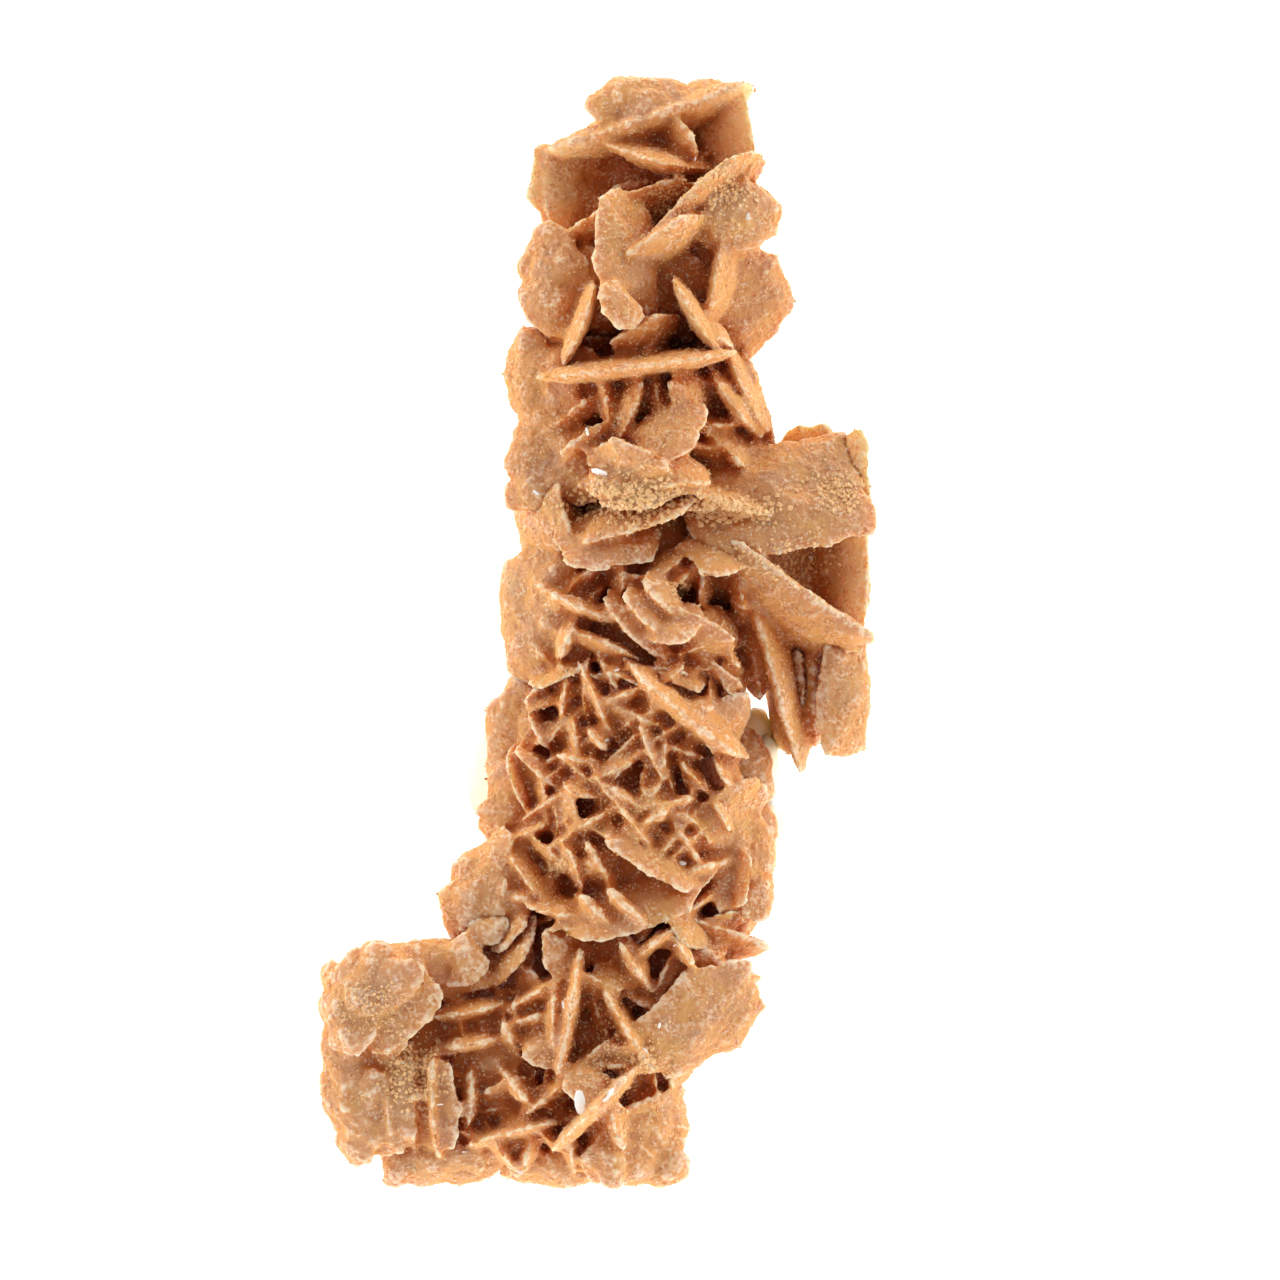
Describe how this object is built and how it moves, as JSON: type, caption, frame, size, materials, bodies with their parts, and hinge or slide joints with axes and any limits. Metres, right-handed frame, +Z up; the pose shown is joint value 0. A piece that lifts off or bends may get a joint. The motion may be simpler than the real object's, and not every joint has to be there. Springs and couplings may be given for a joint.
{
  "type": "desert rose crystal",
  "caption": "Long bent cluster of lens-shaped gypsum crystals intergrown at many angles, with sandy faces; lies on a worn underside.",
  "frame": {"origin": "under the middle of the cluster's box, on the surface that it lies on", "axes": "+Z up, +Y along the cluster from the foot to the crown, +X towards the boss at its side"},
  "size_m": [0.0566, 0.1128, 0.0268],
  "materials": {
    "sandy_gypsum": "matt, sandy, slightly translucent at thin edges"
  },
  "bodies": {
    "root": {"desert_rose": "sandy_gypsum"}
  },
  "joints": []
}
